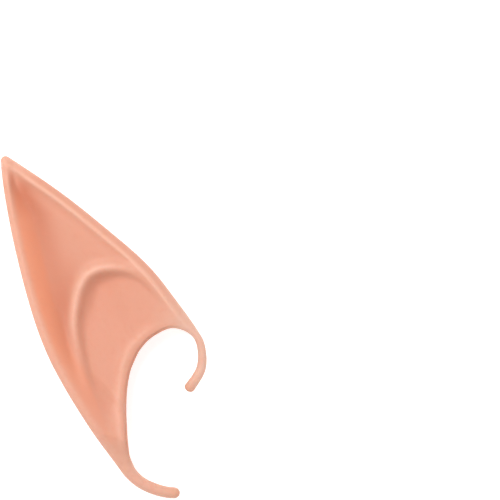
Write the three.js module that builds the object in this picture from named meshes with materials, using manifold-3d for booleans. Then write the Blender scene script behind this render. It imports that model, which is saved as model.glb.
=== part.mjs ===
// A slip-on elf ear tip of skin-coloured latex: the long left ear of a pair.
// It is one hollow shell. The front wall carries the ear's relief, the back wall is plain and bellied,
// and both are one with the rim. They stand open along a C-shaped edge, where the wearer's own ear
// goes in. The shell runs out into a solid hook over the ear and a solid tail under it.
// It lies on its back: X across, Y from the tail up to the tip, Z from the surface up to the relief.
import * as THREE from "three";
import { mergeVertices } from "three/addons/utils/BufferGeometryUtils.js";
import Module from "manifold-3d";

// Driving dimensions in millimetres, apart from those called a share.
// The outline, seen from the front.
const mouthHeight = 51;
const mouthDepth = 23;
const tipRise = 81;
const tipReach = 39.3;
const tipRadius = 1.5;
const frontBulge = 4.7;
const backBulge = 8.2;
const hookWidth = 2.9;
const tailWidth = 3.6;
// The levels of the walls.
const rimLevel = 8.5;
const crestHeight = 3;
const bellyRun = 9;
const hookThickness = 3;
const tailThickness = 3.8;
// The relief of the front wall: a valley behind the back rim, the inner ridge, the basin that it
// bends round, and the lip at the mouth. The valley's wall takes valleyRun, or less where that is more
// than valleyShare of the way to the front rim. Where the basin grows shallow, the run of its flank
// and the lip's inset shrink to their least shares.
const frontInset = 2.9;
const backInset = 2.1;
const valleyDepth = 4;
const valleyRun = 6.2;
const valleyLeastRun = 2;
const valleyShare = 0.42;
const valleyStart = 3;
const valleySoftShare = 0.2;
const ridgeHeight = 1.5;
const ridgeWidth = 1.9;
const basinStart = 0.8;
const basinDepth = 2.9;
const basinRun = 5;
const basinLeastShare = 0.25;
const lipHeight = 0.6;
const lipInset = 2.6;
const lipLeastShare = 0.65;
const lipWidth = 1.5;
const lipRound = 0.7;
// The hollow for the wearer's ear.
const wall = 1.3;
const rimSolid = 2.6;
const mouthSetback = 1.6;
const mouthOverrun = 4.2;
const pocketFromShare = 0.45;

// Sections across the shell, one row each, from the end of the hook round the tip to the end of the tail.
// across, up: the section's foot on the mouth's edge, as shares of mouthDepth and mouthHeight,
// counted from the mouth's deepest point. width: a share of hookWidth or tailWidth.
// along, bulge: the section's head on the rim, as a share of the straight line to or from the tip,
// and of frontBulge or backBulge beside it. level, crest: shares of rimLevel and crestHeight.
// hollow: 0 where the section is a solid strap and 1 where it is the open shell.
// valley, lift, dip, lip: shares of valleyDepth, ridgeHeight, basinDepth and lipHeight.
const strap = { hollow: 0, valley: 0, lift: 0, dip: 0, lip: 0 };
const open = { hollow: 1, level: 1, crest: 1, lip: 1 };
const HOOK = [
  { ...strap, across: 0.788, up: 0.124, width: 1.2, level: 0.6, crest: 0.5 },
  { ...strap, across: 0.98, up: 0.26, width: 1.05, level: 0.66, crest: 0.5 },
  { ...strap, across: 0.98, up: 0.392, width: 0.88, level: 0.78, crest: 0.6 },
  { ...strap, across: 0.91, up: 0.451, width: 0.9, level: 0.86, crest: 0.7, hollow: 0.12 },
];
const FRONT = [
  { ...strap, across: 0.65, up: 0.506, along: 0.126, bulge: 0.5, hollow: 0.7, level: 1, crest: 1 },
  { ...open, across: 0.367, up: 0.451, along: 0.296, bulge: 0.99, valley: 0.5, lift: 0.35, dip: 0.08, lip: 0.4 },
  { ...open, across: 0.204, up: 0.377, along: 0.554, bulge: 0.91, valley: 0.9, lift: 0.85, dip: 0.5 },
  { ...open, across: 0.155, up: 0.34, along: 0.724, bulge: 0.7, valley: 1, lift: 1, dip: 0.85 },
  { ...open, across: 0.116, up: 0.302, along: 0.881, bulge: 0.33, valley: 1, lift: 1, dip: 1 },
];
const TIP = { ...open, across: 0.08, up: 0.265, along: 1, bulge: 0, valley: 1, lift: 1, dip: 1 };
const BACK = [
  { ...open, across: 0.054, up: 0.228, along: 0.09, bulge: 0.31, valley: 1, lift: 1, dip: 0.8 },
  { ...open, across: 0.018, up: 0.136, along: 0.27, bulge: 0.72, valley: 1, lift: 0.95, dip: 0.45 },
  { ...open, across: 0.003, up: 0.031, along: 0.49, bulge: 1, valley: 0.8, lift: 0.6, dip: 0.18 },
  { ...open, across: 0.003, up: -0.03, along: 0.617, bulge: 1, valley: 0.4, lift: 0.28, dip: 0.03 },
  { ...open, across: 0.008, up: -0.09, along: 0.72, bulge: 0.84, valley: 0.18, lift: 0.05, dip: 0 },
  { ...open, across: 0.024, up: -0.198, along: 0.87, bulge: 0.45, hollow: 0.8, valley: 0.05, lift: 0, dip: 0 },
];
const TAIL = [
  { ...strap, across: 0.082, up: -0.315, width: 1.39, level: 0.7, crest: 0.7, hollow: 0.25, lip: 0.4 },
  { ...strap, across: 0.15, up: -0.38, width: 1.13, level: 0.58, crest: 0.65 },
  { ...strap, across: 0.26, up: -0.429, width: 1.04, level: 0.5, crest: 0.6 },
  { ...strap, across: 0.41, up: -0.463, width: 1.03, level: 0.44, crest: 0.6 },
  { ...strap, across: 0.57, up: -0.485, width: 1, level: 0.4, crest: 0.6 },
  { ...strap, across: 0.757, up: -0.494, width: 0.98, level: 0.38, crest: 0.6 },
];
// The line of the inner ridge, from its root beside the front rim: across and up as for the feet.
const RIDGE = [
  { across: 0.861, up: 0.543 },
  { across: 0.492, up: 0.703 },
  { across: 0.301, up: 0.799 },
  { across: 0.082, up: 0.859 },
  { across: -0.15, up: 0.873 },
  { across: -0.369, up: 0.86 },
  { across: -0.517, up: 0.82 },
  { across: -0.611, up: 0.749 },
  { across: -0.666, up: 0.654 },
  { across: -0.695, up: 0.543 },
  { across: -0.678, up: 0.444 },
  { across: -0.629, up: 0.333 },
  { across: -0.547, up: 0.203 },
  { across: -0.451, up: 0.08 },
  { across: -0.328, up: -0.056 },
  { across: -0.191, up: -0.197 },
];

// How finely the surfaces are divided.
const SECTIONS_PER_ROW = 4;
const TIP_SECTIONS = 5;
const END_ANGLES = [9, 32, 55, 78];
const FRONT_NODES = 25;
const BACK_NODES = 9;
const BACK_SPACING = 1.6;
const ROOF_NODES = 19;
const FLOOR_NODES = 7;
const CROWDING_STEPS = 160;
const DEPTH_STEP = 0.01;
const RIDGE_STEPS = 90;
// How much the nodes of a section crowd at the mouth's lip, at the ridge and at the rim.
const CROWDING = { even: 0.7, lip: 0.5, ridge: 0.9, rim: 0.7 };

const clamp = THREE.MathUtils.clamp;
const lerp = THREE.MathUtils.lerp;
const smooth = (x) => THREE.MathUtils.smoothstep(x, 0, 1);
const dome = (x) => Math.sqrt(1 - (1 - clamp(x, 0, 1)) ** 2);
const bell = (x) => Math.exp(-x * x);
// 0 up to 0 and 1 from 1 on, straight between them, with both corners rounded over soft.
const slope = (x, soft) => (Math.hypot(x, soft) - Math.hypot(x - 1, soft) + 1) / 2;

function curveThrough(points) {
  return new THREE.CatmullRomCurve3(points, false, "centripetal");
}

// A column of the section rows at t, counted in rows, on a smooth curve through the rows' values.
function column(name, t) {
  const at = clamp(t, 0, LAST_ROW);
  const i = Math.min(Math.floor(at), LAST_ROW - 1);
  const value = (row) => ROWS[clamp(row, 0, LAST_ROW)][name];
  const x = at - i;
  const start = (value(i + 1) - value(i - 1)) / 2;
  const end = (value(i + 2) - value(i)) / 2;
  const change = value(i + 1) - value(i);
  const bend = 3 * change - 2 * start - end;
  return value(i) + x * (start + x * (bend + x * (start + end - 2 * change)));
}

// The plan: the mouth's edge is one curve, and the rim is one curve on each side of the tip.
const ROWS = [...HOOK, ...FRONT, TIP, ...BACK, ...TAIL];
const TIP_ROW = HOOK.length + FRONT.length;
const LAST_ROW = ROWS.length - 1;
const planSpot = (r) => new THREE.Vector3(r.across * mouthDepth, r.up * mouthHeight, 0);
const feet = ROWS.map(planSpot);
const mouthCurve = curveThrough(feet);
const mouthAt = (t) => mouthCurve.getPoint(clamp(t / LAST_ROW, 0, 1));

function strapHead(row, index, strapWidth) {
  const along = mouthCurve.getTangent(index / LAST_ROW);
  const outward = new THREE.Vector3(along.y, -along.x, 0);
  return feet[index].clone().addScaledVector(outward, row.width * strapWidth);
}

function rimHead(row, from, to, bulge) {
  const line = to.clone().sub(from).normalize();
  const outward = new THREE.Vector3(line.y, -line.x, 0);
  return from.clone().lerp(to, row.along).addScaledVector(outward, row.bulge * bulge);
}

const tip = new THREE.Vector3(-tipReach, tipRise, 0);
const hookHeads = HOOK.map((r, i) => strapHead(r, i, hookWidth));
const firstTailRow = ROWS.length - TAIL.length;
const tailHeads = TAIL.map((r, i) => strapHead(r, firstTailRow + i, tailWidth));
const frontHeads = FRONT.map((r) => rimHead(r, hookHeads.at(-1), tip, frontBulge));
const backHeads = BACK.map((r) => rimHead(r, tip, tailHeads[0], backBulge));
const frontCurve = curveThrough([...hookHeads, ...frontHeads, tip]);
const backCurve = curveThrough([tip, ...backHeads, ...tailHeads]);
const rimAt = (t) =>
  t <= TIP_ROW
    ? frontCurve.getPoint(t / TIP_ROW)
    : backCurve.getPoint((t - TIP_ROW) / (LAST_ROW - TIP_ROW));

// Where the ridge's line crosses a section, from its foot (0) to its head (1), or 1 where it doesn't.
const ridgeLine = curveThrough(RIDGE.map(planSpot)).getPoints(RIDGE_STEPS);
function ridgeCrossing(foot, head) {
  const way = head.clone().sub(foot);
  const beside = (p) => way.x * (p.y - foot.y) - way.y * (p.x - foot.x);
  const share = (p) => p.clone().sub(foot).dot(way) / way.lengthSq();
  for (let i = 0; i < RIDGE_STEPS; i++) {
    const from = beside(ridgeLine[i]);
    const to = beside(ridgeLine[i + 1]);
    if (from * to > 0 || from === to) continue;
    const met = lerp(share(ridgeLine[i]), share(ridgeLine[i + 1]), from / (from - to));
    if (met > 0 && met < 1) return met;
  }
  return 1;
}

// The tip is rounded: an arc of tipRadius touches both sides of the rim.
function tipArc() {
  const frontSide = frontCurve.getTangent(1).negate();
  const backSide = backCurve.getTangent(0);
  const half = frontSide.angleTo(backSide) / 2;
  const reach = tipRadius / Math.tan(half);
  const middle = frontSide.clone().add(backSide).normalize();
  const centre = tip.clone().addScaledVector(middle, tipRadius / Math.sin(half));
  const rowLength = (head) => head.distanceTo(tip);
  const start = TIP_ROW - reach / rowLength(frontHeads.at(-1));
  const end = TIP_ROW + reach / rowLength(backHeads[0]);
  return { centre, start, end };
}

// The places of the sections, each with its foot on the mouth's edge and its head on the rim.
// t counts the table's rows. scale shrinks the sections that round off the two ends.
// ridge is the share at which the inner ridge crosses the section.
function placeSections() {
  const arc = tipArc();
  const places = [];
  const add = (t, head = rimAt(t), scale = 1) => {
    const foot = mouthAt(t);
    places.push({ t, scale, foot, head, ridge: ridgeCrossing(foot, head) });
  };
  const hookStep = hookWidth / 2 / feet[0].distanceTo(feet[1]);
  const tailStep = tailWidth / 2 / feet[LAST_ROW].distanceTo(feet[LAST_ROW - 1]);
  const spread = (from, to) => {
    const count = Math.ceil((to - from) * SECTIONS_PER_ROW);
    for (let i = 0; i <= count; i++) add(lerp(from, to, i / count));
  };
  for (const angle of END_ANGLES.map(THREE.MathUtils.degToRad)) {
    const t = hookStep * (1 - Math.cos(angle));
    add(t, rimAt(t), Math.sin(angle));
  }
  spread(hookStep, arc.start);
  for (let i = 1; i < TIP_SECTIONS; i++) {
    const t = lerp(arc.start, arc.end, i / TIP_SECTIONS);
    const first = rimAt(arc.start).sub(arc.centre);
    const last = rimAt(arc.end).sub(arc.centre);
    add(t, first.lerp(last, i / TIP_SECTIONS).setLength(tipRadius).add(arc.centre));
  }
  spread(arc.end, LAST_ROW - tailStep);
  for (const angle of END_ANGLES.map(THREE.MathUtils.degToRad).reverse()) {
    const t = LAST_ROW - tailStep * (1 - Math.cos(angle));
    add(t, rimAt(t), Math.sin(angle));
  }
  return places;
}
const places = placeSections();

// The distance in the plan from a spot to a path.
function distanceTo(path, spot) {
  let best = Infinity;
  for (let i = 0; i + 1 < path.length; i++) {
    const a = path[i];
    const b = path[i + 1];
    const dx = b.x - a.x;
    const dy = b.y - a.y;
    const share = clamp(((spot.x - a.x) * dx + (spot.y - a.y) * dy) / (dx * dx + dy * dy), 0, 1);
    best = Math.min(best, Math.hypot(spot.x - a.x - share * dx, spot.y - a.y - share * dy));
  }
  return best;
}
const onFrontRim = (p) => p.t >= HOOK.length - 1 && p.t <= TIP_ROW;
const frontRim = places.filter(onFrontRim).map((p) => p.head);
const backRim = places.filter((p) => p.t > TIP_ROW).map((p) => p.head);
const mouthEdge = places.map((p) => p.foot);
const toRim = (spot) => Math.min(distanceTo(frontRim, spot), distanceTo(backRim, spot));

// The height of the front wall over the surface that the ear lies on, at share v of a section.
function frontHeight(spot, place, v) {
  const value = (name) => clamp(column(name, place.t), 0, 1);
  const toFront = distanceTo(frontRim, spot);
  const toBack = distanceTo(backRim, spot);
  const toMouth = distanceTo(mouthEdge, spot);
  const toRidge = distanceTo(ridgeLine, spot);
  const rim = dome(toFront / frontInset) * dome(toBack / backInset);
  const breadth = toFront + toBack + 1e-6;
  const run = clamp(breadth * valleyShare - backInset, valleyLeastRun, valleyRun);
  const pastRim = slope((toBack - backInset) / run, valleySoftShare);
  const offTip = smooth((breadth - valleyStart) / valleyRun);
  const valley = value("valley") * valleyDepth * offTip * pastRim * (toFront / breadth);
  const ridge = value("lift") * ridgeHeight * bell(toRidge / ridgeWidth);
  const flankRun = basinRun * lerp(basinLeastShare, 1, value("dip"));
  const inside = v < place.ridge ? v / place.ridge : 0;
  const basin = value("dip") * basinDepth * smooth((toRidge - basinStart) / flankRun) * inside;
  const lipAt = lipInset * lerp(lipLeastShare, 1, value("dip"));
  const lip = value("lip") * lipHeight * bell((toMouth - lipAt) / lipWidth);
  const turnedDown = lipRound * (1 - dome(toMouth / lipRound));
  const relief = value("crest") * crestHeight - valley - basin + ridge + lip;
  return value("level") * rimLevel + relief * rim - turnedDown;
}

function backHeight(spot, place) {
  const level = column("level", place.t) * rimLevel;
  return level * (1 - dome(toRim(spot) / bellyRun));
}

// A spot of a section: v runs from the mouth's edge (0) to the rim (1).
function spotOn(place, v, side) {
  const spot = place.foot.clone().lerp(place.head, lerp(0.5, v, place.scale));
  const level = column("level", place.t) * rimLevel;
  const hollow = clamp(column("hollow", place.t), 0, 1);
  const thickness = place.t < TIP_ROW ? hookThickness : tailThickness;
  const strapRise = side * thickness * Math.sqrt(Math.max(0, v * (1 - v)));
  const height = side > 0 ? frontHeight(spot, place, v) : backHeight(spot, place);
  const rise = (height - level) * hollow + strapRise * (1 - hollow);
  return spot.setZ(level + rise * place.scale);
}

// One closed skin over rings of equal length, with a fan over each end.
function skin(rings) {
  const size = rings[0].length;
  const positions = rings.flat().flatMap((p) => [p.x, p.y, p.z]);
  const index = [];
  for (let i = 0; i + 1 < rings.length; i++) {
    for (let j = 0; j < size; j++) {
      const a = i * size + j;
      const b = i * size + ((j + 1) % size);
      index.push(a, b, a + size, b, b + size, a + size);
    }
  }
  const last = (rings.length - 1) * size;
  for (let j = 1; j + 1 < size; j++) {
    index.push(0, j + 1, j, last, last + j, last + j + 1);
  }
  const geometry = new THREE.BufferGeometry();
  geometry.setAttribute("position", new THREE.Float32BufferAttribute(positions, 3));
  geometry.setIndex(index);
  return geometry;
}

// Nodes along a section from its foot to share reach of it, crowded where the relief bends most.
function nodesOf(place, count, reach) {
  const width = place.foot.distanceTo(place.head);
  const lift = clamp(column("lift", place.t), 0, 1);
  const crowd = (v) =>
    CROWDING.even / Math.sqrt(width) +
    CROWDING.lip * bell((v * width) / (lipInset + lipWidth)) +
    CROWDING.ridge * lift * bell(((v - place.ridge) * width) / (2 * ridgeWidth)) +
    CROWDING.rim * bell(((1 - v) * width) / (frontInset + backInset));
  const sums = [0];
  for (let i = 0; i < CROWDING_STEPS; i++) {
    sums.push(sums[i] + crowd((reach * (i + 0.5)) / CROWDING_STEPS));
  }
  const nodes = [];
  for (let k = 0, i = 0; k <= count; k++) {
    const wanted = (sums[CROWDING_STEPS] * k) / count;
    while (i < CROWDING_STEPS - 1 && sums[i + 1] < wanted) i++;
    const step = i + (wanted - sums[i]) / (sums[i + 1] - sums[i]);
    nodes.push((reach * step) / CROWDING_STEPS);
  }
  return nodes;
}

function outerRing(place) {
  const front = nodesOf(place, FRONT_NODES, 1).map((v) => spotOn(place, v, 1));
  const width = place.foot.distanceTo(place.head);
  const setback = (clamp(column("hollow", place.t), 0, 1) * mouthSetback) / width;
  const back = Array.from({ length: BACK_NODES }, (_, i) => 1 - ((i + 1) / BACK_NODES) ** BACK_SPACING);
  return [...front, ...back.map((v) => spotOn(place, lerp(setback, 1, v), -1))];
}

// The hollow between the walls: it stops short of the rim, and runs out past the mouth's edge.
function pocketDepth(place) {
  const clear = (v) => toRim(place.foot.clone().lerp(place.head, v)) >= rimSolid;
  let v = 1;
  while (v > DEPTH_STEP && !clear(v)) v -= DEPTH_STEP;
  return v * Math.sqrt(smooth((column("hollow", place.t) - pocketFromShare) / (1 - pocketFromShare)));
}

function pocketRing(place) {
  const depth = pocketDepth(place);
  const floorNodes = Array.from({ length: FLOOR_NODES + 1 }, (_, i) => (depth * i) / FLOOR_NODES);
  const roof = nodesOf(place, ROOF_NODES, depth).map((v) => spotOn(place, v, 1));
  const floor = floorNodes.map((v) => spotOn(place, v, -1));
  roof.forEach((spot) => (spot.z -= wall));
  floor.forEach((spot) => (spot.z += wall));
  const outwards = place.foot.clone().sub(place.head).setLength(mouthOverrun);
  roof.unshift(roof[0].clone().add(outwards));
  floor.unshift(floor[0].clone().add(outwards));
  return [...roof, ...floor.reverse()];
}

const wasm = await Module();
wasm.setup();

function solidFrom(geometry) {
  const merged = mergeVertices(geometry, 1e-4);
  const vertProperties = merged.attributes.position.array;
  const triVerts = new Uint32Array(merged.index.array);
  return new wasm.Manifold(new wasm.Mesh({ numProp: 3, vertProperties, triVerts }));
}

function geometryFrom(solid) {
  const mesh = solid.getMesh();
  const geometry = new THREE.BufferGeometry();
  geometry.setAttribute("position", new THREE.BufferAttribute(mesh.vertProperties, 3));
  geometry.setIndex(new THREE.BufferAttribute(mesh.triVerts, 1));
  geometry.computeVertexNormals();
  return geometry;
}

const shellPlaces = places.filter((p) => column("hollow", p.t) > pocketFromShare);
const outerSolid = solidFrom(skin(places.map(outerRing)));
const pocketSolid = solidFrom(skin(shellPlaces.map(pocketRing)));
const latex = new THREE.MeshStandardMaterial({ color: 0xeba78a, roughness: 0.55, metalness: 0 });
const ear_shell = new THREE.Mesh(geometryFrom(outerSolid.subtract(pocketSolid)), latex);
ear_shell.name = "ear_shell";

// The origin is under the middle of the ear, on the surface that it lies on.
ear_shell.geometry.computeBoundingBox();
const middle = ear_shell.geometry.boundingBox.getCenter(new THREE.Vector3());
ear_shell.position.set(-middle.x, -middle.y, -ear_shell.geometry.boundingBox.min.z);
const ear = new THREE.Group();
ear.add(ear_shell);
export default ear;
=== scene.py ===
# %% [markdown]
# # A slip-on elf ear tip of skin-coloured latex
#
# The real piece is cast in one go: liquid latex is poured into a mould and drained again, so a soft
# skin about 1.3 mm thick stays behind. Its front wall carries the relief of an ear, its back wall is
# plain, and the two part along a C-shaped edge, where the wearer's own ear slips in. A thin hook
# lies over the ear and a tail runs down behind it.
#
# The imported model gives the place and the size of the shell, so it is loaded first. Its box is kept,
# and the ear is centred on it.

# %% The frame and its box
import math
import bpy
import numpy as np
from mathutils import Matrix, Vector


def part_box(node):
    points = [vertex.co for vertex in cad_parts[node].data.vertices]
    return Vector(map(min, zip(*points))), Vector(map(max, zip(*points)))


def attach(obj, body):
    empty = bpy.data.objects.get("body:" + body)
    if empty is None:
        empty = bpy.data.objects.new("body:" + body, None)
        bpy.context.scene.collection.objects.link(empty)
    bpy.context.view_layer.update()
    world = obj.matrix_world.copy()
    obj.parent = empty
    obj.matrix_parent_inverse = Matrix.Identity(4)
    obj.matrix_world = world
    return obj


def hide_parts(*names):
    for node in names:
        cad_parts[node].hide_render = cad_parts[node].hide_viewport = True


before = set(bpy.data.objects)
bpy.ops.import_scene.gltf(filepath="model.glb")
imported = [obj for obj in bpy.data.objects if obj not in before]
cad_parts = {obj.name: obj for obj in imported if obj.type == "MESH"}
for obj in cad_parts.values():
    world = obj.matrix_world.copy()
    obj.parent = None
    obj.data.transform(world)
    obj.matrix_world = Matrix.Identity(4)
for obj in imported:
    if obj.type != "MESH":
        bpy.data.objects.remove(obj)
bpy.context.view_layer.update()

shell_low, shell_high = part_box("ear_shell")
print("the shell's box in mm:", [round(1000 * (b - a), 2) for a, b in zip(shell_low, shell_high)])

# %% [markdown]
# ## The plan of the ear
#
# Seen from the front, the ear is a band that runs round the C-shaped mouth: from the end of the hook
# over the tall pointed shell to the end of the tail. It could be traced as one outline and filled,
# but then nothing would say where across the wall a spot lies. Here it is a row of sections instead.
# Each section starts with its foot on the mouth's edge and ends with its head on the rim, and the
# table gives one section a row. Smooth curves through the rows give as many sections as are wanted.

# %% Sizes of the outline, in metres
MM = 0.001
MOUTH_HEIGHT = 51 * MM
MOUTH_DEPTH = 23 * MM
TIP_RISE = 81 * MM
TIP_REACH = 39.3 * MM
TIP_RADIUS = 1.5 * MM
FRONT_BULGE = 4.7 * MM
BACK_BULGE = 8.2 * MM
HOOK_WIDTH = 2.9 * MM
TAIL_WIDTH = 3.6 * MM

# %% The rows, in shares of those sizes
# across, up: the foot, as shares of MOUTH_DEPTH and MOUTH_HEIGHT from the mouth's deepest point.
# width: a share of HOOK_WIDTH or TAIL_WIDTH. along, bulge: the head beside the straight line to or
# from the tip. level, crest, valley, lift, dip, lip: shares of the heights further down, where lift
# is the ridge's and dip the basin's. hollow: 0 where the section is a solid rod, 1 where it is open.
ROD = dict(hollow=0, valley=0, lift=0, dip=0, lip=0, along=0, bulge=0)
OPEN = dict(hollow=1, level=1, crest=1, lip=1, width=0)
HOOK = [
    dict(ROD, across=0.788, up=0.124, width=1.2, level=0.6, crest=0.5),
    dict(ROD, across=0.98, up=0.26, width=1.05, level=0.66, crest=0.5),
    dict(ROD, across=0.98, up=0.392, width=0.88, level=0.78, crest=0.6),
    dict(ROD, across=0.91, up=0.451, width=0.9, level=0.86, crest=0.7, hollow=0.12),
]
FRONT = [
    dict(ROD, across=0.65, up=0.506, along=0.126, bulge=0.5, width=0, level=1, crest=1, hollow=0.7),
    dict(OPEN, across=0.367, up=0.451, along=0.296, bulge=0.99, valley=0.5, lift=0.35, dip=0.08, lip=0.4),
    dict(OPEN, across=0.204, up=0.377, along=0.554, bulge=0.91, valley=0.9, lift=0.85, dip=0.5),
    dict(OPEN, across=0.155, up=0.34, along=0.724, bulge=0.7, valley=1, lift=1, dip=0.85),
    dict(OPEN, across=0.116, up=0.302, along=0.881, bulge=0.33, valley=1, lift=1, dip=1),
]
TIP = dict(OPEN, across=0.08, up=0.265, along=1, bulge=0, valley=1, lift=1, dip=1)
BACK = [
    dict(OPEN, across=0.054, up=0.228, along=0.09, bulge=0.31, valley=1, lift=1, dip=0.8),
    dict(OPEN, across=0.018, up=0.136, along=0.27, bulge=0.72, valley=1, lift=0.95, dip=0.45),
    dict(OPEN, across=0.003, up=0.031, along=0.49, bulge=1, valley=0.8, lift=0.6, dip=0.18),
    dict(OPEN, across=0.003, up=-0.03, along=0.617, bulge=1, valley=0.4, lift=0.28, dip=0.03),
    dict(OPEN, across=0.008, up=-0.09, along=0.72, bulge=0.84, valley=0.18, lift=0.05, dip=0),
    dict(OPEN, across=0.024, up=-0.198, along=0.87, bulge=0.45, valley=0.05, lift=0, dip=0, hollow=0.8),
]
TAIL = [
    dict(ROD, across=0.082, up=-0.315, width=1.39, level=0.7, crest=0.7, hollow=0.25, lip=0.4),
    dict(ROD, across=0.15, up=-0.38, width=1.13, level=0.58, crest=0.65),
    dict(ROD, across=0.26, up=-0.429, width=1.04, level=0.5, crest=0.6),
    dict(ROD, across=0.41, up=-0.463, width=1.03, level=0.44, crest=0.6),
    dict(ROD, across=0.57, up=-0.485, width=1, level=0.4, crest=0.6),
    dict(ROD, across=0.757, up=-0.494, width=0.98, level=0.38, crest=0.6),
]
# The line of the inner ridge, in the same shares as the feet.
RIDGE = [
    (0.861, 0.543), (0.492, 0.703), (0.301, 0.799), (0.082, 0.859), (-0.15, 0.873), (-0.369, 0.86),
    (-0.517, 0.82), (-0.611, 0.749), (-0.666, 0.654), (-0.695, 0.543), (-0.678, 0.444), (-0.629, 0.333),
    (-0.547, 0.203), (-0.451, 0.08), (-0.328, -0.056), (-0.191, -0.197),
]
ROWS = [*HOOK, *FRONT, TIP, *BACK, *TAIL]
TIP_ROW = len(HOOK) + len(FRONT)
LAST_ROW = len(ROWS) - 1
print(len(ROWS), "rows from the hook to the tail")


# %% Smooth curves through the rows
class Curve:
    """A smooth curve through points, with t counted in points and steps spaced by their chords."""

    def __init__(self, points):
        points = np.array(points, float)
        self.last = len(points) - 1
        before = 2 * points[0] - points[1]
        after = 2 * points[-1] - points[-2]
        self.points = np.vstack([before, points, after])

    def at(self, t):
        t = np.atleast_1d(t).astype(float)
        i = np.clip(np.floor(t).astype(int), 0, self.last - 1)
        x = (t - i)[:, None]
        a, b, c, d = (self.points[i + k] for k in range(4))
        ab, bc, cd = (np.sqrt(np.linalg.norm(q - p, axis=1))[:, None] for p, q in ((a, b), (b, c), (c, d)))
        start = bc * ((b - a) / ab - (c - a) / (ab + bc) + (c - b) / bc)
        end = bc * ((c - b) / bc - (d - b) / (bc + cd) + (d - c) / cd)
        return b + x * (start + x * (3 * (c - b) - 2 * start - end + x * (start + end - 2 * (c - b))))

    def direction(self, t):
        step = self.at(np.minimum(t + 1e-3, self.last)) - self.at(np.maximum(t - 1e-3, 0))
        return step / np.linalg.norm(step, axis=1)[:, None]


def column(name, t):
    """One column of the rows at t, on a smooth curve through their values."""
    values = np.array([row[name] for row in ROWS], float)
    t = np.clip(t, 0, LAST_ROW)
    i = np.minimum(np.floor(t).astype(int), LAST_ROW - 1)
    before, here, after, beyond = (values[np.clip(i + k, 0, LAST_ROW)] for k in (-1, 0, 1, 2))
    start, end, x = (after - before) / 2, (beyond - here) / 2, t - i
    change = after - here
    return here + x * (start + x * (3 * change - 2 * start - end + x * (start + end - 2 * change)))


# %% The mouth's edge and the rim
def outward(direction):
    return np.stack([direction[..., 1], -direction[..., 0]], axis=-1)


def heads_beside(rows, start, end, bulge):
    line = (end - start) / np.linalg.norm(end - start)
    return [start + r["along"] * (end - start) + r["bulge"] * bulge * outward(line) for r in rows]


feet = np.array([[r["across"] * MOUTH_DEPTH, r["up"] * MOUTH_HEIGHT] for r in ROWS])
mouth_curve = Curve(feet)
row_outward = outward(mouth_curve.direction(np.arange(len(ROWS))))
row_width = np.array([r["width"] for r in ROWS])[:, None]
hook_heads = (feet + row_outward * row_width * HOOK_WIDTH)[: len(HOOK)]
tail_heads = (feet + row_outward * row_width * TAIL_WIDTH)[-len(TAIL) :]
tip = np.array([-TIP_REACH, TIP_RISE])
front_heads = heads_beside(FRONT, hook_heads[-1], tip, FRONT_BULGE)
back_heads = heads_beside(BACK, tip, tail_heads[0], BACK_BULGE)
ridge_curve = Curve(np.array(RIDGE) * [MOUTH_DEPTH, MOUTH_HEIGHT])
front_curve = Curve([*hook_heads, *front_heads, tip])
back_curve = Curve([tip, *back_heads, *tail_heads])


def rim_at(t):
    t = np.atleast_1d(t)
    front = front_curve.at(np.minimum(t, TIP_ROW))
    back = back_curve.at(np.maximum(t - TIP_ROW, 0))
    return np.where((t <= TIP_ROW)[:, None], front, back)


print("the mouth is", round(1000 * np.ptp(feet[:, 1]), 1), "mm high")

# %% [markdown]
# ## The sections
#
# The hook and the tail end in round caps: their last sections shrink as a half circle does. At the
# tip the two sides of the rim would meet in a corner, so a small arc that touches both replaces it.

# %% Where the sections stand
SECTIONS_PER_ROW = 18
TIP_SECTIONS = 22
cap_angles = np.radians(np.linspace(3, 87, 13))


def tip_arc():
    """Where the arc starts and ends on the rim, the places of its sections between, and its points."""
    front_side = -front_curve.direction(np.array([TIP_ROW]))[0]
    back_side = back_curve.direction(np.array([0]))[0]
    half = math.acos(front_side @ back_side) / 2
    middle = (front_side + back_side) / np.linalg.norm(front_side + back_side)
    centre = tip + middle * TIP_RADIUS / math.sin(half)
    reach = TIP_RADIUS / math.tan(half)
    start = TIP_ROW - reach / np.linalg.norm(front_heads[-1] - tip)
    end = TIP_ROW + reach / np.linalg.norm(back_heads[0] - tip)
    first, last = rim_at(np.array([start, end])) - centre
    turn_start = math.atan2(first[1], first[0])
    turn = (math.atan2(last[1], last[0]) - turn_start) % (2 * math.pi)
    share = np.arange(1, TIP_SECTIONS) / TIP_SECTIONS
    turns = turn_start + share * turn
    points = centre + TIP_RADIUS * np.stack([np.cos(turns), np.sin(turns)], axis=1)
    return start, end, start + share * (end - start), points


def spread(start, end):
    return np.linspace(start, end, math.ceil((end - start) * SECTIONS_PER_ROW) + 1)


hook_step = HOOK_WIDTH / 2 / np.linalg.norm(feet[0] - feet[1])
tail_step = TAIL_WIDTH / 2 / np.linalg.norm(feet[-1] - feet[-2])
arc_start, arc_end, arc_t, arc_points = tip_arc()
parts = [
    hook_step * (1 - np.cos(cap_angles)),
    spread(hook_step, arc_start),
    arc_t,
    spread(arc_end, LAST_ROW - tail_step),
    (LAST_ROW - tail_step * (1 - np.cos(cap_angles)))[::-1],
]
t = np.concatenate(parts)
foot = mouth_curve.at(t)
head = rim_at(t)
scale = np.ones(len(t))
scale[: len(cap_angles)] = np.sin(cap_angles)
scale[-len(cap_angles) :] = np.sin(cap_angles)[::-1]
first_arc = len(parts[0]) + len(parts[1])
head[first_arc : first_arc + len(arc_t)] = arc_points
width = np.linalg.norm(head - foot, axis=1)
print(len(t), "sections, the longest", round(1000 * width.max(), 1), "mm")

# %% Where the inner ridge crosses each section
ridge_line = ridge_curve.at(np.linspace(0, ridge_curve.last, 400))


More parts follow.
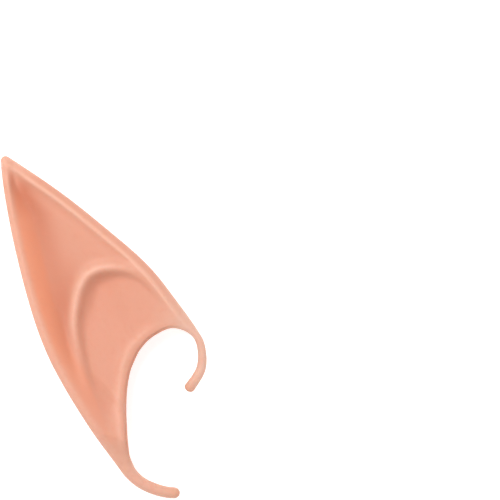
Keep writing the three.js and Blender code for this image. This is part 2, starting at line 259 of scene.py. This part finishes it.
def crossing(start, end):
    """The share of the way from start to end at which the ridge's line is met, or 1."""
    way = end - start
    beside = (ridge_line - start) @ np.array([-way[1], way[0]])
    share = (ridge_line - start) @ way / (way @ way)
    met = np.nonzero((beside[:-1] * beside[1:] <= 0) & (share[:-1] > 0) & (share[:-1] < 1))[0]
    if not len(met):
        return 1.0
    i = met[0]
    part = beside[i] / (beside[i] - beside[i + 1])
    return share[i] + part * (share[i + 1] - share[i])


ridge_share = np.array([crossing(a, b) for a, b in zip(foot, head)])
print("the ridge crosses", int((ridge_share < 1).sum()), "sections")

# %% [markdown]
# ## The flat blank
#
# Each section becomes a closed ring that goes once round the latex: over the front wall from the
# mouth's edge to the rim, back under it along the back wall, round the lip of the back wall, into
# the hollow along its floor, round its end, out along its roof, and round the lip of the front wall.
# In the hook and the tail the same nodes lie round a plain rod. The blank is laid out flat. What
# every node needs for its height later is kept on it as attributes, such as its distance to the rim.

# %% How a ring is divided
FRONT_NODES = 88
BACK_NODES = 34
FLOOR_NODES = 14
ROOF_NODES = 22
ROUND_NODES = 5
RIM_SOLID = 2.6 * MM
MOUTH_SETBACK = 1.6 * MM
POCKET_FROM = 0.45
WALL = 1.3 * MM
END_ROUND = 1.2 * MM
ROD_ARC = math.radians(155)
# Nodes crowd within these reaches of the ridge, of both ends of a section and of its very edges.
RIDGE_REACH = 3.5 * MM
ENDS_REACH = 4 * MM
EDGE_REACH = 0.03 * MM
# Powers over 1 crowd the nodes at the start of a wall, and powers under 1 at its end.
BACK_CROWDING = 1.8
ROOF_CROWDING = 0.8
LEAST_FLOOR = 0.004


def smooth_step(x):
    x = np.clip(x, 0, 1)
    return x * x * (3 - 2 * x)


def bell_of(x):
    return np.exp(-x * x)


def crowded(count):
    """Shares from 0 to 1 along every section, denser at the lip, the ridge and the rim."""
    fine = np.linspace(0, 1, 401)[None, :]
    w = width[:, None]
    to_ridge = (fine - ridge_share[:, None]) * w
    density = 0.5 + 1.1 * np.clip(column("lift", t), 0, 1)[:, None] * bell_of(to_ridge / RIDGE_REACH)
    density += 0.5 * (bell_of(fine * w / ENDS_REACH) + bell_of((1 - fine) * w / ENDS_REACH))
    for s in (fine * w, (1 - fine) * w):
        density += 0.9 * np.sqrt(MM / (s + EDGE_REACH))
    sums = np.cumsum((density[:, 1:] + density[:, :-1]) / 2, axis=1)
    sums = np.hstack([np.zeros((len(t), 1)), sums])
    wanted = np.linspace(0, 1, count)
    return np.array([np.interp(wanted * s[-1], s, fine[0]) for s in sums])


# %% Distances in the plan
def distance(spots, path):
    """From each spot to a path of points."""
    a, step = path[:-1], np.diff(path, axis=0)
    square = (step**2).sum(axis=1)
    best = np.full(len(spots), np.inf)
    for i in range(0, len(spots), 2000):
        gap = spots[i : i + 2000, None, :] - a
        share = np.clip((gap * step).sum(axis=2) / square, 0, 1)[:, :, None]
        best[i : i + 2000] = np.sqrt((((gap - share * step) ** 2).sum(axis=2)).min(axis=1))
    return best


front_rim = head[(t >= len(HOOK) - 1) & (t <= TIP_ROW)]
back_rim = head[t > TIP_ROW]
hollow = np.clip(column("hollow", t), 0, 1)


def pocket_depth():
    """How far the hollow reaches along each section: it stops short of the rim."""
    shares = np.linspace(0, 1, 101)
    depth = np.zeros(len(t))
    for i in range(len(t)):
        spots = foot[i] + shares[:, None] * (head[i] - foot[i])
        clear = np.minimum(distance(spots, front_rim), distance(spots, back_rim)) >= RIM_SOLID
        depth[i] = shares[clear].max() if clear.any() else 0
    return depth * np.sqrt(smooth_step((hollow - POCKET_FROM) / (1 - POCKET_FROM)))


depth = pocket_depth()
print("the hollow reaches", round(1000 * (depth * width).max(), 1), "mm in")

# %% The rings
def lay_rings():
    """The nodes' shares, sideways steps, rises, skins and rod angles, section by section."""
    one = np.ones((len(t), 1))
    turn = np.pi * (np.arange(1, ROUND_NODES + 1) / (ROUND_NODES + 1))[None, :]
    front = crowded(FRONT_NODES)
    setback = (hollow * MOUTH_SETBACK / width)[:, None]
    back_steps = 1 - (np.arange(1, BACK_NODES + 1) / BACK_NODES) ** BACK_CROWDING
    back = setback + (1 - setback) * back_steps[None, :]
    d = depth[:, None]
    floor_end = np.maximum(d, setback + LEAST_FLOOR)
    floor = setback + (floor_end - setback) * np.linspace(0, 1, FLOOR_NODES)[None, :]
    roof = d * (1 - np.linspace(0, 1, ROOF_NODES)[None, :] ** ROOF_CROWDING)
    half_turn = (1 - np.cos(turn)) / 2
    lip_step = -np.sin(turn) * WALL / 2
    end_step = np.sin(turn) * END_ROUND * np.minimum(1, d * width[:, None] / (4 * MM))
    pieces = [
        # share along the section, step past it, rise (0 back wall, 1 front wall), skin
        (front, 0 * front, 1, 0 * front),
        (back, 0 * back, 0, 0 * back),
        (setback * np.ones_like(turn), lip_step * one, 0, one * half_turn),
        (floor, 0 * floor, 0, 1 + 0 * floor),
        (floor_end + (d - floor_end) * half_turn, end_step, half_turn, one * np.cos(turn)),
        (roof, 0 * roof, 1, -1 + 0 * roof),
        (0 * turn * one, lip_step * one, 1, one * (-1 - np.cos(turn)) / 2),
    ]
    shares = np.hstack([p[0] for p in pieces])
    steps = np.hstack([p[1] for p in pieces])
    rises = np.hstack([p[2] * np.ones_like(p[0]) for p in pieces])
    skins = np.hstack([p[3] * np.ones_like(p[0]) for p in pieces])
    inner = shares.shape[1] - FRONT_NODES - BACK_NODES
    angles = np.concatenate([
        np.linspace(ROD_ARC, 0, FRONT_NODES),
        -ROD_ARC * np.arange(1, BACK_NODES + 1) / BACK_NODES,
        -ROD_ARC - 2 * (math.pi - ROD_ARC) * np.arange(1, inner + 1) / (inner + 1),
    ])
    return shares, steps, rises, skins, angles[None, :] * one


shares, steps, rises, skins, angles = lay_rings()
ring = shares.shape[1]
shell_like = smooth_step((hollow - 0.05) / 0.9)[:, None]
shares = (0.5 + 0.5 * np.cos(angles)) * (1 - shell_like) + shares * shell_like
outer = np.arange(ring) < FRONT_NODES + BACK_NODES
on_rod = 2 * np.sqrt(np.clip(shares * (1 - shares), 0, None)) * np.sign(np.sin(angles))
strap = np.where(outer[None, :], on_rod, np.sin(angles))
print(ring, "nodes a ring")

# %% The flat mesh with what each node knows
along = 0.5 + (shares - 0.5) * scale[:, None]
across = (head - foot) / width[:, None]
spots = foot[:, None, :] + along[:, :, None] * (head - foot)[:, None, :]
placed = spots + (steps * shell_like)[:, :, None] * across[:, None, :]
flat = spots.reshape(-1, 2)
inside = np.where(shares < ridge_share[:, None], shares / ridge_share[:, None], 0)


def each(values):
    return np.repeat(values, ring)


END_REACH = 4 * MM
ends = np.array([(foot[0] + head[0]) / 2, (foot[-1] + head[-1]) / 2, tip])
to_end = np.linalg.norm(flat[:, None, :] - ends, axis=2).min(axis=1)
facts = {
    "to_front": distance(flat, front_rim),
    "to_back": distance(flat, back_rim),
    "to_mouth": distance(flat, foot),
    "to_ridge": distance(flat, ridge_line),
    "inside": np.clip(inside, 0, 1).ravel(),
    "beyond": (shares > ridge_share[:, None]).astype(float).ravel(),
    "rise": rises.ravel(),
    "skin": skins.ravel(),
    "strap": strap.ravel(),
    "hollow": each(hollow),
    "shrink": each(scale),
    "tail_side": each((t > TIP_ROW).astype(float)),
    # painted shade: darker towards the ends of the hook and the tail and at the tip
    "painted_end_shade": bell_of(to_end / END_REACH),
}
for name in ("level", "crest", "valley", "lift", "dip", "lip"):
    facts[name] = each(np.clip(column(name, t), 0, 1))

count = len(t)
corner = np.arange(count * ring).reshape(count, ring)
beside = np.roll(corner, -1, axis=1)
quads = np.stack([corner[:-1], beside[:-1], beside[1:], corner[1:]], axis=-1).reshape(-1, 4)
caps = [(corner[0][j], corner[0][0], corner[0][j + 1]) for j in range(1, ring - 1)]
caps += [(corner[-1][0], corner[-1][j], corner[-1][j + 1]) for j in range(1, ring - 1)]
low, high = placed.reshape(-1, 2).min(axis=0), placed.reshape(-1, 2).max(axis=0)
centre = np.array([(a + b) / 2 for a, b in zip(shell_low, shell_high)])[:2]
shift = centre - (low + high) / 2
points = np.hstack([placed.reshape(-1, 2) + shift, np.zeros((count * ring, 1))])

blank = bpy.data.meshes.new("ear_blank")
blank.from_pydata(points.tolist(), [], quads.tolist() + caps)
for name, values in facts.items():
    attribute = blank.attributes.new(name, "FLOAT", "POINT")
    attribute.data.foreach_set("value", values.astype(np.float32))
ear = bpy.data.objects.new("latex_ear", blank)
bpy.context.collection.objects.link(ear)
print(len(blank.polygons), "faces, shift", [round(1000 * s, 2) for s in shift])

# %% [markdown]
# ## Sums as Python
#
# Both the pressing of the relief and the colouring of the latex are sums over the surface. Wiring
# their Math nodes by hand is long and easy to get wrong, so a small class wraps a socket: a sum
# written on it in Python adds its nodes. Every other node comes from one method.

# %% A socket that Python can reckon with
class Term:
    """One output socket of a node tree."""

    def __init__(self, tree, socket):
        self.tree = tree
        self.socket = socket

    def math(self, operation, *terms):
        """A Math node on the terms, or on this socket alone."""
        terms = dict(enumerate(terms or [self]))
        return add_node(self.tree, "ShaderNodeMath", {"operation": operation}, terms)

    def __add__(self, other):
        return self.math("ADD", self, other)

    def __sub__(self, other):
        return self.math("SUBTRACT", self, other)

    def __rsub__(self, other):
        return self.math("SUBTRACT", other, self)

    def __mul__(self, other):
        return self.math("MULTIPLY", self, other)

    def __truediv__(self, other):
        return self.math("DIVIDE", self, other)

    def __neg__(self):
        return self.math("MULTIPLY", self, -1)

    __radd__ = __add__
    __rmul__ = __mul__

    def least(self, other):
        return self.math("MINIMUM", self, other)

    def most(self, other):
        return self.math("MAXIMUM", self, other)


def add_node(tree, kind, settings=None, values=None, output=0):
    """A node of any kind: its settings first, then the values or links of its sockets."""
    node = tree.nodes.new(kind)
    for name, value in (settings or {}).items():
        setattr(node, name, value)
    for name, value in (values or {}).items():
        if isinstance(value, Term):
            tree.links.new(value.socket, node.inputs[name])
        else:
            node.inputs[name].default_value = value
    return Term(tree, node.outputs[output])


def clamp(x):
    return x.most(0).least(1)


def smooth(x):
    x = clamp(x)
    return x * x * (3 - 2 * x)


def dome(x):
    """A quarter of a circle: 0 at 0, then 1 from 1 on."""
    x = 1 - clamp(x)
    return (1 - x * x).most(0).math("SQRT")


def bell(x):
    return (-(x * x)).math("EXPONENT")


def rising(x, start, over):
    """0 up to start, then a smooth rise to 1 over a length."""
    return smooth((x - start) / over)


def band(x, middle, reach):
    """1 at the middle, fading to both sides over its reach."""
    return bell((x - middle) / reach)


def slope_with_soft_ends(x, soft):
    """0 up to 0 and 1 from 1 on, straight between, with both corners rounded over soft."""
    low = (x * x + soft * soft).math("SQRT")
    high = ((x - 1) * (x - 1) + soft * soft).math("SQRT")
    return (low - high + 1) * 0.5


# %% [markdown]
# ## Pressing the relief
#
# On the real ear the relief is one soft surface: a raised rim all round, a valley along the back
# rim, an inner ridge that bends round a shallow basin, and a rolled lip at the mouth. It could be
# sculpted by hand, but every one of these forms follows a rule: it is a height over a distance to
# the rim, the ridge or the mouth. So a Geometry Nodes tree lifts the flat blank by that rule, and
# each form has its own named input, which can be turned like a dial.
#
# The tree leaves masks as well: shares from 0 to 1 that say how far a spot lies on the valley's wall,
# at its bottom, in the basin or on a raised edge. The latex reads them for its colour, and most of them
# paint light into it: painted shade in the valley, the basin and at the ends, a painted glow on the
# valley's wall, painted light near the tip and painted highlights along the crests.

# %% The dials
dials = {
    "Rim level": 8.5 * MM,
    "Crest height": 3 * MM,
    "Belly run": 9 * MM,
    "Hook thickness": 3 * MM,
    "Tail thickness": 3.8 * MM,
    "Front inset": 2.9 * MM,
    "Back inset": 2.1 * MM,
    "Bead inset": 2.5 * MM,
    "Bead width": 0.7 * MM,
    "Bead height": 0.35 * MM,
    "Groove width": 1.6 * MM,
    "Groove depth": 0.2 * MM,
    "Valley depth": 4 * MM,
    "Valley run": 6.2 * MM,
    "Valley least run": 2 * MM,
    "Valley share": 0.42,
    "Valley start": 3 * MM,
    "Valley soft": 0.2,
    "Ridge height": 1.5 * MM,
    "Ridge width": 1.9 * MM,
    "Basin start": 0.8 * MM,
    "Basin depth": 2.9 * MM,
    "Basin run": 5 * MM,
    "Lip height": 0.6 * MM,
    "Lip inset": 2.6 * MM,
    "Lip width": 1.5 * MM,
    "Lip round": 0.7 * MM,
    "Wall": WALL,
}

# %% The pressing tree
def pressing_tree(material):
    tree = bpy.data.node_groups.new("press_relief", "GeometryNodeTree")
    tree.interface.new_socket("Blank", in_out="INPUT", socket_type="NodeSocketGeometry")
    for name, value in dials.items():
        socket = tree.interface.new_socket(name, in_out="INPUT", socket_type="NodeSocketFloat")
        socket.default_value = value
    tree.interface.new_socket("Ear", in_out="OUTPUT", socket_type="NodeSocketGeometry")
    entry = tree.nodes.new("NodeGroupInput")
    leave = tree.nodes.new("NodeGroupOutput")
    size = {name: Term(tree, entry.outputs[name]) for name in dials}

    def known(name):
        settings = {"data_type": "FLOAT"}
        return add_node(tree, "GeometryNodeInputNamedAttribute", settings, {"Name": name})

    to_front, to_back, to_mouth, to_ridge = map(known, ("to_front", "to_back", "to_mouth", "to_ridge"))
    hollow, lift, crest = known("hollow"), known("lift"), known("crest")
    level = known("level") * size["Rim level"]

    rim = dome(to_front / size["Front inset"]) * dome(to_back / size["Back inset"])
    breadth = to_front + to_back + 1e-9
    run = breadth * size["Valley share"] - size["Back inset"]
    run = run.least(size["Valley run"]).most(size["Valley least run"])
    past_rim = slope_with_soft_ends((to_back - size["Back inset"]) / run, size["Valley soft"])
    off_tip = rising(breadth, size["Valley start"], size["Valley run"])
    valley = known("valley") * size["Valley depth"] * off_tip * past_rim * to_front / breadth
    on_bead = band(to_front, size["Bead inset"], size["Bead width"])
    bead = size["Bead height"] * on_bead
    groove_at = size["Bead inset"] + size["Bead width"] + size["Groove width"]
    groove = size["Groove depth"] * band(to_front, groove_at, size["Groove width"])
    ridge = lift * size["Ridge height"] * bell(to_ridge / size["Ridge width"])
    dip = known("dip")
    flank = rising(to_ridge, size["Basin start"], size["Basin run"] * (0.25 + 0.75 * dip))
    basin = dip * size["Basin depth"] * flank * known("inside")
    lip_at = size["Lip inset"] * (0.65 + 0.35 * dip)
    lip = known("lip") * size["Lip height"] * band(to_mouth, lip_at, size["Lip width"])
    turned_down = size["Lip round"] * (1 - dome(to_mouth / size["Lip round"]))
    relief = crest * size["Crest height"] + bead - groove - valley - basin + ridge + lip
    front = level + relief * rim - turned_down
    back = level * (1 - dome(to_front.least(to_back) / size["Belly run"]))

    wall = size["Wall"].least(0.45 * (front - back))
    shell = back + (front - back) * known("rise") + wall * known("skin")
    tail_side = known("tail_side")
    thickness = size["Hook thickness"] * (1 - tail_side) + size["Tail thickness"] * tail_side
    rod = known("strap") * thickness * 0.5
    height = level + ((shell - level) * hollow + rod * (1 - hollow)) * known("shrink")

    flat_spot = add_node(tree, "GeometryNodeInputPosition")
    raised = add_node(tree, "ShaderNodeCombineXYZ", values={2: height})
    spot = add_node(tree, "ShaderNodeVectorMath", {"operation": "ADD"}, {0: flat_spot, 1: raised})
    pressing = {"Geometry": Term(tree, entry.outputs["Blank"]), "Position": spot}
    made = add_node(tree, "GeometryNodeSetPosition", values=pressing)

    # Where a spot lies: beside the valley's bottom, the ridge and the edges, and how far from the tip.
    bottom_at = size["Back inset"] + run
    off_point = rising(breadth, 5 * MM, 6 * MM)
    broad = rising(breadth, 12 * MM, 18 * MM)
    past_ridge = to_ridge * (2 * known("beyond") - 1)
    in_valley = off_tip * rising(past_ridge, -1.5 * MM, 1.5 * MM)
    wall_share = rising(to_back, 1.8 * MM, 2 * MM) * rising(bottom_at - to_back, -1 * MM, 2.5 * MM)
    beside_bottom = to_back - bottom_at - 1 * MM - 0.4 * MM * broad
    wall_part = beside_bottom.least(0) / (4.4 * MM + 0.6 * MM * broad)
    face_part = beside_bottom.most(0) / (2.2 * MM + 2.8 * MM * broad)
    at_bottom = bell(wall_part + face_part) * (1 - 0.4 * broad)
    on_outer_side = rising(past_ridge, 1.2 * MM, 2 * MM) * band(past_ridge, 3 * MM, 4 * MM)
    on_ridge = lift * lift * band(past_ridge, 0.4 * MM, 1.4 * MM)
    on_lip = known("lip") * band(to_mouth, lip_at, 0.8 * size["Lip width"])
    on_rim = band(to_back, 1.4 * MM, 1.5 * MM) + 0.35 * band(to_front, 1 * MM, 1.2 * MM)
    under_ridge = 0.5 + dip * band(to_ridge, 3.4 * MM, 2.4 * MM)
    # Masks for the colour: most of them paint shade, glow or highlights where the light falls on the
    # relief
    tone_and_painted_light = {
        # painted light: an orange glow on the valley's wall, standing in for light through the thin latex
        # and lifting the shade of its slope
        "painted_wall_glow": in_valley * known("valley").math("SQRT") * wall_share,
        # painted shade: darker at the valley's bottom, where the hollow lies in shade
        "painted_valley_shade": in_valley * known("valley") * at_bottom * off_point,
        # painted shade: darker in the valley just outside the ridge
        "painted_shade_outside_ridge": lift * on_outer_side * band(to_back, bottom_at, 9 * MM),
        "narrow": (1 - rising(breadth, 12 * MM, 14 * MM)) * off_point,
        # painted light: lighter on the valley's wall near the tip, lifting the shade of its slope
        "painted_tip_light": (1 - rising(breadth, 6 * MM, 7 * MM)) * rising(to_back, 3 * MM, 1.6 * MM),
        "low_face": tail_side * (1 - smooth(1.6 * lift)) * rising(to_mouth, 4 * MM, 3 * MM),
        # painted shadow: darker in the basin just inside the ridge, most where the basin is deep
        "painted_basin_shadow": basin / size["Basin depth"] * under_ridge,
        # painted highlights: paler along the ridge, the bead, the lip and the rim, where the crests catch
        # the light
        "painted_highlight": clamp(on_ridge + 1.2 * on_bead + 0.6 * on_lip + 0.65 * on_rim),
    }
    for name, value in tone_and_painted_light.items():
        made = add_node(
            tree,
            "GeometryNodeStoreNamedAttribute",
            {"data_type": "FLOAT", "domain": "POINT"},
            {"Geometry": made, "Name": name, "Value": value * hollow},
        )
    made = add_node(tree, "GeometryNodeRealizeInstances", values={"Geometry": made})
    made = add_node(tree, "GeometryNodeSetMaterial", values={"Geometry": made, "Material": material})
    tree.links.new(made.socket, leave.inputs["Ear"])
    return tree


# %% [markdown]
# ## The latex
#
# Cast latex has no paint on it: its skin colour is mixed in, so light enters, scatters and comes out
# warm again. The shader scatters a little light under its surface, but the more orange hollows and the
# paler raised edges are painted light in its colour: painted shade at the valley's bottom, beside the
# ridge, in the basin and at the ends, a painted glow on the valley's wall, painted light near the tip
# and painted highlights along the crests. The surface has a satin sheen, a fine grain from the plaster
# mould and faint cloudy mottling. A single colour would look like plastic, so the colour, the
# roughness and a fine bump all vary over the surface.

# %% The tints of the latex, painted shade, glow and highlights among them
tints = {
    "flesh": (0.69, 0.311, 0.21, 1),
    "cloud": (0.74, 0.36, 0.27, 1),
    # painted glow on the valley's wall
    "painted_wall_glow": (0.81, 0.31, 0.178, 1),
    "narrow": (0.62, 0.235, 0.14, 1),
    # painted shade outside the ridge
    "painted_shade_outside_ridge": (0.58, 0.21, 0.125, 1),
    # painted shade at the valley's bottom
    "painted_valley_shade": (0.56, 0.18, 0.098, 1),
    "low_face": (0.62, 0.245, 0.155, 1),
    # painted light near the tip
    "painted_tip_light": (0.80, 0.42, 0.30, 1),
    # painted shadow in the basin
    "painted_basin_shadow": (0.61, 0.23, 0.145, 1),
    # painted highlight along the crests
    "painted_highlight": (0.79, 0.44, 0.325, 1),
    "solid": (0.77, 0.48, 0.37, 1),
    # painted shade at the ends
    "painted_end_shade": (0.68, 0.34, 0.225, 1),
    "speck": (0.66, 0.25, 0.16, 1),
}
print(len(tints), "tints")


# %% The latex material
def latex_material():
    material = bpy.data.materials.new("skin_latex")
    material.use_nodes = True
    tree = material.node_tree
    tree.nodes.clear()
    shader = tree.nodes.new("ShaderNodeBsdfPrincipled")
    out = tree.nodes.new("ShaderNodeOutputMaterial")
    tree.links.new(shader.outputs["BSDF"], out.inputs["Surface"])
    spot = add_node(tree, "ShaderNodeTexCoord", output="Object")

    def known(name):
        return add_node(tree, "ShaderNodeAttribute", {"attribute_name": name}, output="Fac")

    def noise(size, detail):
        """A cloudy pattern from 0 to 1, with spots about this many metres across."""
        values = {"Vector": spot, "Scale": 1 / size, "Detail": detail, "Roughness": 0.5}
        return add_node(tree, "ShaderNodeTexNoise", values=values)

    def mix(share, a, b):
        settings = {"data_type": "RGBA", "blend_type": "MIX"}
        return add_node(tree, "ShaderNodeMix", settings, {0: share, 6: a, 7: b}, output=2)

    clouds, mottle, grain = noise(9 * MM, 3), noise(1.6 * MM, 3), noise(0.45 * MM, 2)

    solid = clamp((1 - known("hollow")) * (1.8 - 0.8 * known("tail_side")))
    # Most of these shares paint light and shade into the colour; the clouds and specks are the latex's own
    # mottling
    amounts = {
        "cloud": clamp(0.3 * (clouds - 0.4)),
        "painted_wall_glow": clamp(known("painted_wall_glow") + 0.25 * (clouds - 0.5)),
        "narrow": 0.2 * known("narrow"),
        "painted_shade_outside_ridge": 0.75 * known("painted_shade_outside_ridge"),
        "painted_valley_shade": 0.95 * known("painted_valley_shade"),
        "low_face": 0.4 * known("low_face"),
        "painted_tip_light": 0.7 * known("painted_tip_light"),
        "painted_basin_shadow": 0.55 * known("painted_basin_shadow"),
        "painted_highlight": 0.9 * known("painted_highlight"),
        "solid": solid * (0.8 - 0.35 * known("tail_side")),
        "painted_end_shade": 0.75 * known("painted_end_shade"),
        "speck": clamp((mottle - 0.52) * 0.9),
    }
    colour = tints["flesh"]
    for name, amount in amounts.items():
        colour = mix(amount, colour, tints[name])
    tree.links.new(colour.socket, shader.inputs["Base Color"])

    gloss = 0.5 + 0.12 * (mottle - 0.5) + 0.1 * (grain - 0.5) + 0.06 * known("painted_valley_shade")
    tree.links.new(gloss.socket, shader.inputs["Roughness"])
    height = 0.7 * noise(0.8 * MM, 3) + 0.3 * grain
    relief = {"Height": height, "Strength": 0.18, "Distance": 0.15 * MM}
    bump = add_node(tree, "ShaderNodeBump", values=relief)
    tree.links.new(bump.socket, shader.inputs["Normal"])

    shader.inputs["Subsurface Weight"].default_value = 0.25
    shader.inputs["Subsurface Radius"].default_value = (1.0, 0.4, 0.22)
    shader.inputs["Subsurface Scale"].default_value = 1.2 * MM
    shader.inputs["Specular IOR Level"].default_value = 0.3
    return material


latex = latex_material()
print("latex with", len(latex.node_tree.nodes), "nodes")

# %% The ear is pressed, and becomes a plain mesh
tree = pressing_tree(latex)
press = ear.modifiers.new("press", "NODES")
press.node_group = tree
for socket in tree.interface.items_tree:
    if socket.in_out == "INPUT" and socket.name in dials:
        press[socket.identifier] = dials[socket.name]
bpy.context.view_layer.update()
ready = ear.evaluated_get(bpy.context.evaluated_depsgraph_get())
pressed = bpy.data.meshes.new_from_object(ready)
ear.modifiers.remove(press)
ear.data = pressed
pressed.shade_smooth()
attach(ear, "root")
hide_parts("ear_shell")
print("the ear has", len(pressed.vertices), "points and", len(tree.nodes), "nodes pressed it")

# %% [markdown]
# ## The light, the floor and the camera
#
# The photograph was taken from straight above in soft light, with the brighter side at the upper
# left, on a white ground. A long lens far away keeps the ear free of distortion. The floor gives
# off a little light of its own, so that it stays as white as the ground in the photograph.

# %% The floor
white = bpy.data.materials.new("pale_floor")
white.use_nodes = True
floor_shader = white.node_tree.nodes["Principled BSDF"]
floor_shader.inputs["Base Color"].default_value = (0.92, 0.92, 0.92, 1)
floor_shader.inputs["Roughness"].default_value = 0.9
floor_shader.inputs["Emission Color"].default_value = (1, 1, 1, 1)
floor_shader.inputs["Emission Strength"].default_value = 0.52
floor_mesh = bpy.data.meshes.new("floor")
HALF = 1.5
corners = [(-HALF, -HALF, 0), (HALF, -HALF, 0), (HALF, HALF, 0), (-HALF, HALF, 0)]
floor_mesh.from_pydata(corners, [], [(0, 1, 2, 3)])
floor_mesh.materials.append(white)
floor = bpy.data.objects.new("floor", floor_mesh)
bpy.context.collection.objects.link(floor)

# %% The lights
def soft_light(name, place, size, watts):
    light = bpy.data.lights.new(name, "AREA")
    light.shape = "DISK"
    light.size = size
    light.energy = watts
    lamp = bpy.data.objects.new(name, light)
    lamp.location = place
    aim = -lamp.location.normalized()
    lamp.rotation_euler = aim.to_track_quat("-Z", "Y").to_euler()
    bpy.context.collection.objects.link(lamp)


soft_light("key", (-0.35, 0.35, 0.85), 0.5, 7)
soft_light("fill", (0.5, -0.3, 0.9), 0.9, 2.8)
world = bpy.data.worlds.new("studio")
world.use_nodes = True
sky = world.node_tree.nodes["Background"]
sky.inputs["Color"].default_value = (1, 1, 1, 1)
sky.inputs["Strength"].default_value = 0.45
bpy.context.scene.world = world
bpy.context.scene.view_settings.view_transform = "Standard"

# %% The camera
PICTURE_WIDTH = 157.2 * MM
PICTURE_CENTRE = (46.05 * MM, 24.45 * MM)
EAR_LEVEL = 9 * MM
SENSOR_WIDTH = 36
FOCAL_LENGTH = 250
camera_data = bpy.data.cameras.new("camera")
camera_data.sensor_width = SENSOR_WIDTH
camera_data.lens = FOCAL_LENGTH
camera = bpy.data.objects.new("camera", camera_data)
away = PICTURE_WIDTH * FOCAL_LENGTH / SENSOR_WIDTH
camera.location = (*PICTURE_CENTRE, EAR_LEVEL + away)
bpy.context.collection.objects.link(camera)
bpy.context.scene.camera = camera
print("the camera is", round(away, 3), "m above the ear")
